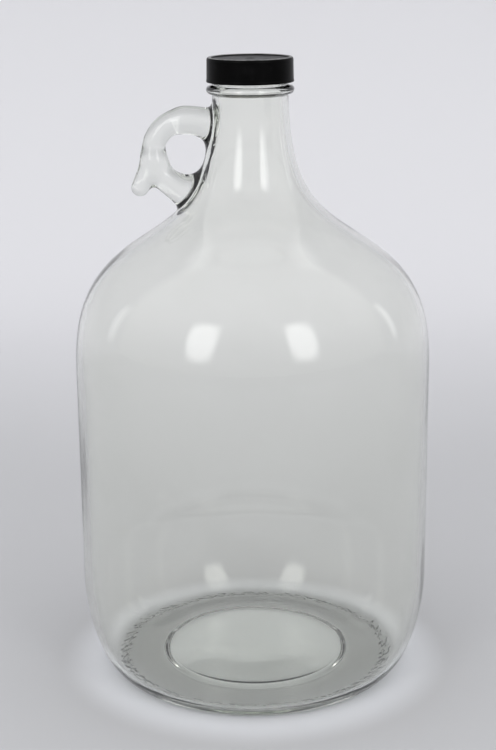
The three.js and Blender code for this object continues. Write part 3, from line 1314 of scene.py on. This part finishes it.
@dataclass
class CapLiner:
    """The sealing disc, with the groove that the jug's lip presses into its underside."""

    low: float
    high: float
    radius: float
    lip_radius: float = 15.8
    groove_width: float = 1.1
    groove_depth: float = 0.16
    rounding: float = 0.18
    columns: int = 192

    def surface(self) -> Surface:
        """The disc, turned about the axis, with a rounded edge.

        Its underside is pressed in by the lip: depth * exp(-((radius - lip radius) / width)^2).

        Returns:
            The closed surface.
        """
        out = np.r_[np.linspace(1.0, 13.0, 8), np.linspace(13.4, 18.0, 24)]
        press = np.exp(-(((out - self.lip_radius) / self.groove_width) ** 2))
        under = np.stack([out, self.low + self.groove_depth * press], axis=1)
        edge = self.radius
        inner, low, high = edge - self.rounding, self.low + self.rounding, self.high - self.rounding
        points = outline(
            under,
            quarter((inner, self.low), (edge, self.low), (edge, low), 5),
            quarter((edge, high), (edge, self.high), (inner, self.high), 5),
            line((edge - 1.0, self.high), (1.0, self.high), 6),
        )
        _, radius, height = spread(points, self.columns)
        return Surface.turned(radius, height, True, True)

    def build(self, finish: LinerFoam) -> bpy.types.Object:
        """Makes and dresses the disc.

        Args:
            finish: The foam's finish.

        Returns:
            The piece.
        """
        thing = self.surface().thing("liner_disc")
        dress(thing, finish.material(), "liner_carrier", "cap_liner")
        return thing


# ---- The studio ---------------------------------------------------------------------------------


class Side(Enum):
    """The side of the camera that a light stands on."""

    LEFT = -1
    RIGHT = 1


@dataclass
class Studio:
    """Camera, paper, lights and surroundings. Lengths are in metres, angles in radians."""

    camera_back: float = 0.720
    camera_height: float = 0.3495
    camera_pitch: float = 0.2776
    camera_roll: float = 0.00986
    camera_yaw: float = 0.00316
    focal: float = 75.3
    sensor: float = 36.0
    paper_near: float = -12.0
    paper_far: float = 0.62
    paper_bend: float = 0.45
    paper_width: float = 24.0
    paper_top: float = 3.0
    box_distance: float = 1.45
    box_turn: float = math.radians(34.0)
    box_rise: float = math.radians(24.0)
    box_size: tuple = (0.56, 1.10)
    box_power: float = 5.3
    strip_turn: float = math.radians(104.0)
    strip_rise: float = math.radians(14.0)
    strip_size: tuple = (0.16, 0.80)
    strip_power: float = 0.45
    soft_edge: float = 0.7
    aim_height: float = 0.20
    wall_place: tuple = (0.0, 0.75, 2.0)
    wall_aim: tuple = (0.0, 1.1, 0.7)
    wall_size: tuple = (2.2, 0.7)
    wall_power: float = 3.0
    overhead: tuple = (1.00, 1.00, 1.01, 1.0)
    level: tuple = (0.68, 0.682, 0.686, 1.0)
    sky_edges: tuple = (-0.1, 0.8)

    def camera(self) -> None:
        """Places the camera, turned down, a touch to the left and a touch clockwise."""
        data = bpy.data.cameras.new("camera")
        data.lens = self.focal
        data.sensor_width = self.sensor
        thing = bpy.data.objects.new("camera", data)
        bpy.context.scene.collection.objects.link(thing)
        turn = (
            Matrix.Rotation(self.camera_yaw, 4, "Z")
            @ Matrix.Rotation(math.pi / 2 - self.camera_pitch, 4, "X")
            @ Matrix.Rotation(-self.camera_roll, 4, "Z")
        )
        place = Vector((0.0, -self.camera_back, self.camera_height))
        thing.matrix_world = Matrix.Translation(place) @ turn
        bpy.context.scene.camera = thing

    def paper(self, finish: StudioPaper) -> None:
        """Lays the paper: flat, then a quarter round, then upright, swept across its width.

        Args:
            finish: The paper's finish.
        """
        bend = quarter(
            (self.paper_far, 0.0),
            (self.paper_far + self.paper_bend, 0.0),
            (self.paper_far + self.paper_bend, self.paper_bend),
            24,
        )
        path = outline(
            line((self.paper_near, 0.0), (self.paper_far, 0.0), 24),
            bend,
            line(tuple(bend[-1]), (bend[-1][0], self.paper_top), 6),
        )
        across = np.linspace(-self.paper_width / 2, self.paper_width / 2, 13)
        x, y = np.meshgrid(across, path[:, 0])
        z = np.repeat(path[:, 1:], len(across), axis=1)
        points = np.stack([x, y, z], axis=-1).reshape(-1, 3) / MM
        faces = grid_faces(len(path), len(across), False, False)
        thing = Surface(points, faces).thing("studio_paper")
        thing.data.materials.append(finish.material())

    def light(self, name: str, place: Vector, target: Vector, size: tuple, power: float) -> None:
        """Hangs a soft box whose cloth is brightest in the middle: 16 x (1 - x) y (1 - y) across it.

        Args:
            name: The light's name.
            place: Where it hangs.
            target: What it faces.
            size: Its width and height.
            power: Its power in watts.
        """
        data = bpy.data.lights.new(name, "AREA")
        data.shape = "RECTANGLE"
        data.size, data.size_y = size
        data.energy = power
        data.use_nodes = True
        sheet = NodeSheet(data.node_tree)
        across = sheet.node("ShaderNodeNewGeometry", {}, {}, "Parametric")
        x = sheet.node("ShaderNodeSeparateXYZ", {}, {0: across}, "X")
        y = sheet.node("ShaderNodeSeparateXYZ", {}, {0: across}, "Y")
        glow = (x * (1.0 - x) * y * (1.0 - y) * 16.0).ramp(0.0, self.soft_edge)
        cloth = sheet.node("ShaderNodeEmission", {}, {"Strength": glow})
        sheet.node("ShaderNodeOutputLight", {}, {"Surface": cloth})
        thing = bpy.data.objects.new(name, data)
        thing.visible_camera = False
        thing.location = place
        thing.rotation_euler = (target - place).to_track_quat("-Z", "Y").to_euler()
        bpy.context.scene.collection.objects.link(thing)

    def lights(self) -> None:
        """Hangs a soft box and a narrow strip on each side, and a light over the paper behind."""
        aim = Vector((0.0, 0.0, self.aim_height))
        stands = (
            ("soft_box", self.box_turn, self.box_rise, self.box_size, self.box_power),
            ("strip", self.strip_turn, self.strip_rise, self.strip_size, self.strip_power),
        )
        for side in Side:
            for name, turn, rise, size, power in stands:
                way = Vector((side.value * math.sin(turn), -math.cos(turn), math.tan(rise))).normalized()
                self.light(f"{name}_{side.name.lower()}", aim + way * self.box_distance, aim, size, power)
        over, onto = Vector(self.wall_place), Vector(self.wall_aim)
        self.light("wall_light", over, onto, self.wall_size, self.wall_power)

    def surroundings(self) -> None:
        """Fills the room: pale overhead, and dimmer low down."""
        world = bpy.data.worlds.new("room")
        bpy.context.scene.world = world
        world.use_nodes = True
        sheet = NodeSheet(world.node_tree)
        way = sheet.node("ShaderNodeTexCoord", {}, {}, "Generated")
        up = sheet.node("ShaderNodeSeparateXYZ", {}, {0: way}, "Z")
        colour = sheet.mix(up.ramp(*self.sky_edges), self.level, self.overhead)
        sky = sheet.node("ShaderNodeBackground", {}, {"Color": colour, "Strength": 1.0})
        sheet.node("ShaderNodeOutputWorld", {}, {"Surface": sky})

    def build(self, finish: StudioPaper) -> None:
        """Sets up the whole studio.

        Args:
            finish: The paper's finish.
        """
        self.camera()
        self.paper(finish)
        self.lights()
        self.surroundings()
        bpy.context.scene.view_settings.view_transform = "Standard"


def main() -> None:
    """Builds the studio and the object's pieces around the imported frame."""
    logging.basicConfig(level=logging.INFO, format="%(message)s")
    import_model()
    Studio().build(StudioPaper())
    _, jug_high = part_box("glass_jug")
    cap_low, cap_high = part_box("screw_cap")
    liner_low, liner_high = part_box("cap_liner")
    lip = jug_high.z / MM
    jug = GlassJug(lip=lip, body=jug_high.x / MM)
    cap = ScrewCap(low=cap_low.z / MM, high=cap_high.z / MM, skirt=cap_high.x / MM, lip=lip)
    liner = CapLiner(low=liner_low.z / MM, high=liner_high.z / MM, radius=liner_high.x / MM)
    jug.build(ClearGlass())
    cap.build(MouldedPlastic(cap_high.z))
    liner.build(LinerFoam())


if __name__ == "__main__":
    main()
